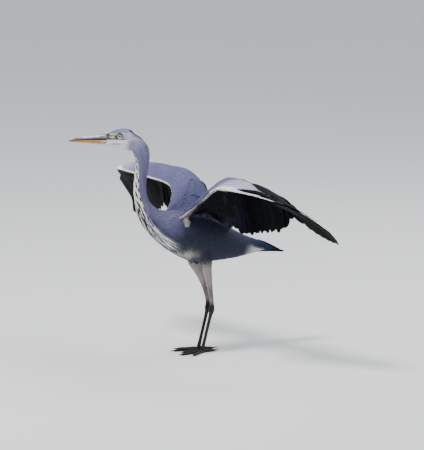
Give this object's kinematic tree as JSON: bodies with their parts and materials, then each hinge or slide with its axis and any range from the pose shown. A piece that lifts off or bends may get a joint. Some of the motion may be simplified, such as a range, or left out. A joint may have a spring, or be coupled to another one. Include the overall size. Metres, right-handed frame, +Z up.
{
  "type": "grey heron",
  "caption": "Grey heron standing with raised S-curved neck, dagger bill, long thin legs and both wings half spread with drooping hands.",
  "frame": {"origin": "centre of the bird's box on the floor, between and slightly ahead of the feet", "axes": "+Z up, the bird's body faces -Y, its left side is +X"},
  "size_m": [1.2188, 0.7254, 0.7248],
  "materials": {
    "grey_feathers": "soft, blue-grey, dull",
    "flight_feathers": "smooth, blue-black",
    "thigh_feathers": "soft, buff-grey",
    "upper_bill_horn": "smooth horn, slightly shiny",
    "lower_bill_horn": "smooth horn, slightly shiny",
    "eye": "wet and glossy",
    "leg_skin": "scaly skin, dull",
    "claw_horn": "smooth horn"
  },
  "bodies": {
    "root": {"claw_left_hind": "claw_horn", "claw_left_inner": "claw_horn", "claw_left_middle": "claw_horn", "claw_left_outer": "claw_horn", "claw_right_hind": "claw_horn", "claw_right_inner": "claw_horn", "claw_right_middle": "claw_horn", "claw_right_outer": "claw_horn", "eye_left": "eye", "eye_right": "eye", "foot_left": "leg_skin", "foot_right": "leg_skin", "head": "grey_feathers", "lower_bill": "lower_bill_horn", "neck_lower": "grey_feathers", "neck_middle": "grey_feathers", "neck_upper": "grey_feathers", "primaries_left": "flight_feathers", "primaries_right": "flight_feathers", "secondaries_left": "flight_feathers", "secondaries_right": "flight_feathers", "tail": "grey_feathers", "tarsus_left": "leg_skin", "tarsus_right": "leg_skin", "tibia_left": "thigh_feathers", "tibia_right": "thigh_feathers", "trunk": "grey_feathers", "upper_bill": "upper_bill_horn", "wing_left": "grey_feathers", "wing_right": "grey_feathers"}
  },
  "joints": []
}
